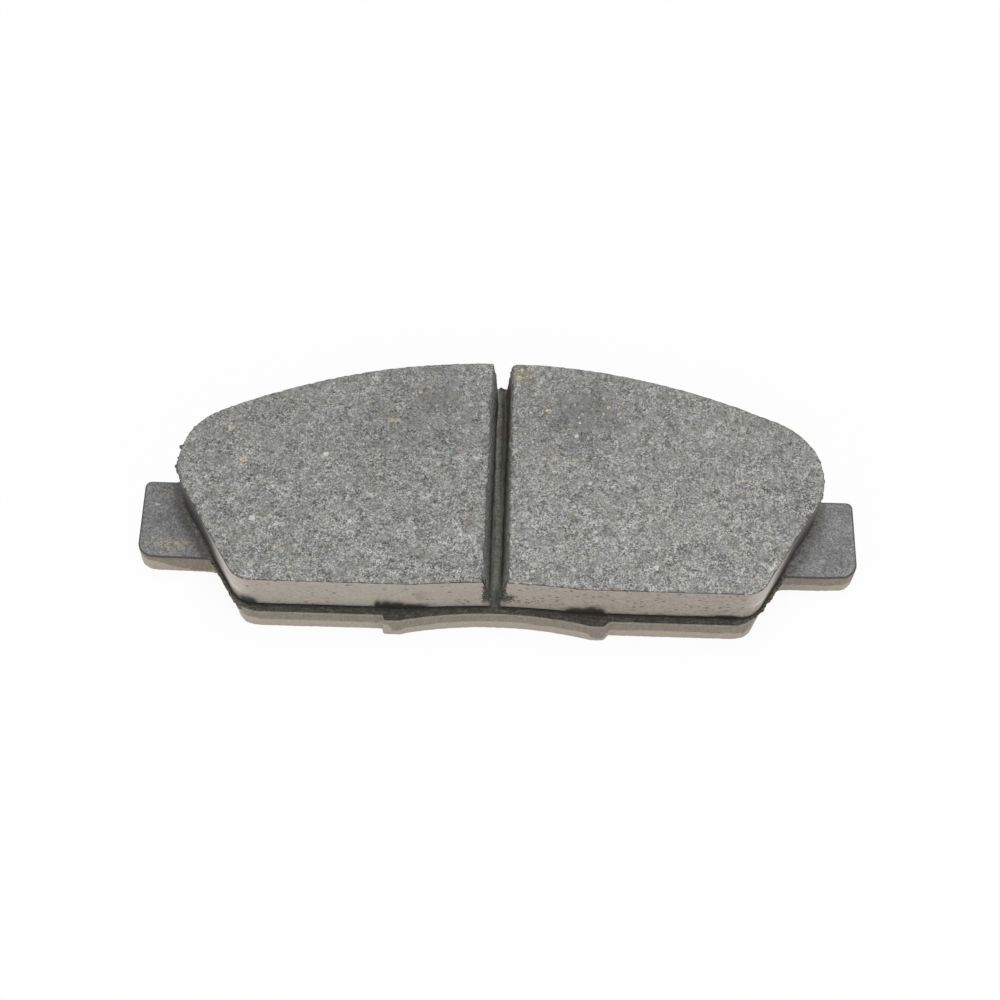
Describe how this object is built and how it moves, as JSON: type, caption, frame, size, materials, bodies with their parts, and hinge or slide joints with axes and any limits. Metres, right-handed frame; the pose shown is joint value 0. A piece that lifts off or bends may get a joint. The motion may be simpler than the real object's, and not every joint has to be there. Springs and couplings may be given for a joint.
{
  "type": "disc brake pad",
  "caption": "Disc brake pad: stamped steel backing plate with an ear at each end, pressed-out bonding film, keyed underlayers, and friction blocks parted by a slot.",
  "frame": {"origin": "middle of the pad's box in X and Y, on the plane of the backing plate's back face", "axes": "+X across the ears, +Y away from the disc's axis, +Z from the plate's back face towards the disc"},
  "size_m": [0.15, 0.0572, 0.017],
  "materials": {
    "plate_paint": "matte dark grey paint, worn thin on the stamped edges",
    "adhesive": "cured resin film, granular where it is pressed out over the plate",
    "underlayer_mix": "moulded fibre and resin mix, smooth on the walls",
    "friction_mix": "ground face with pale, dark and tan grains"
  },
  "bodies": {
    "root": {"backing_plate": "plate_paint", "bonding_film": "adhesive", "underlayer_left": "underlayer_mix", "underlayer_right": "underlayer_mix", "friction_block_left": "friction_mix", "friction_block_right": "friction_mix"}
  },
  "joints": []
}
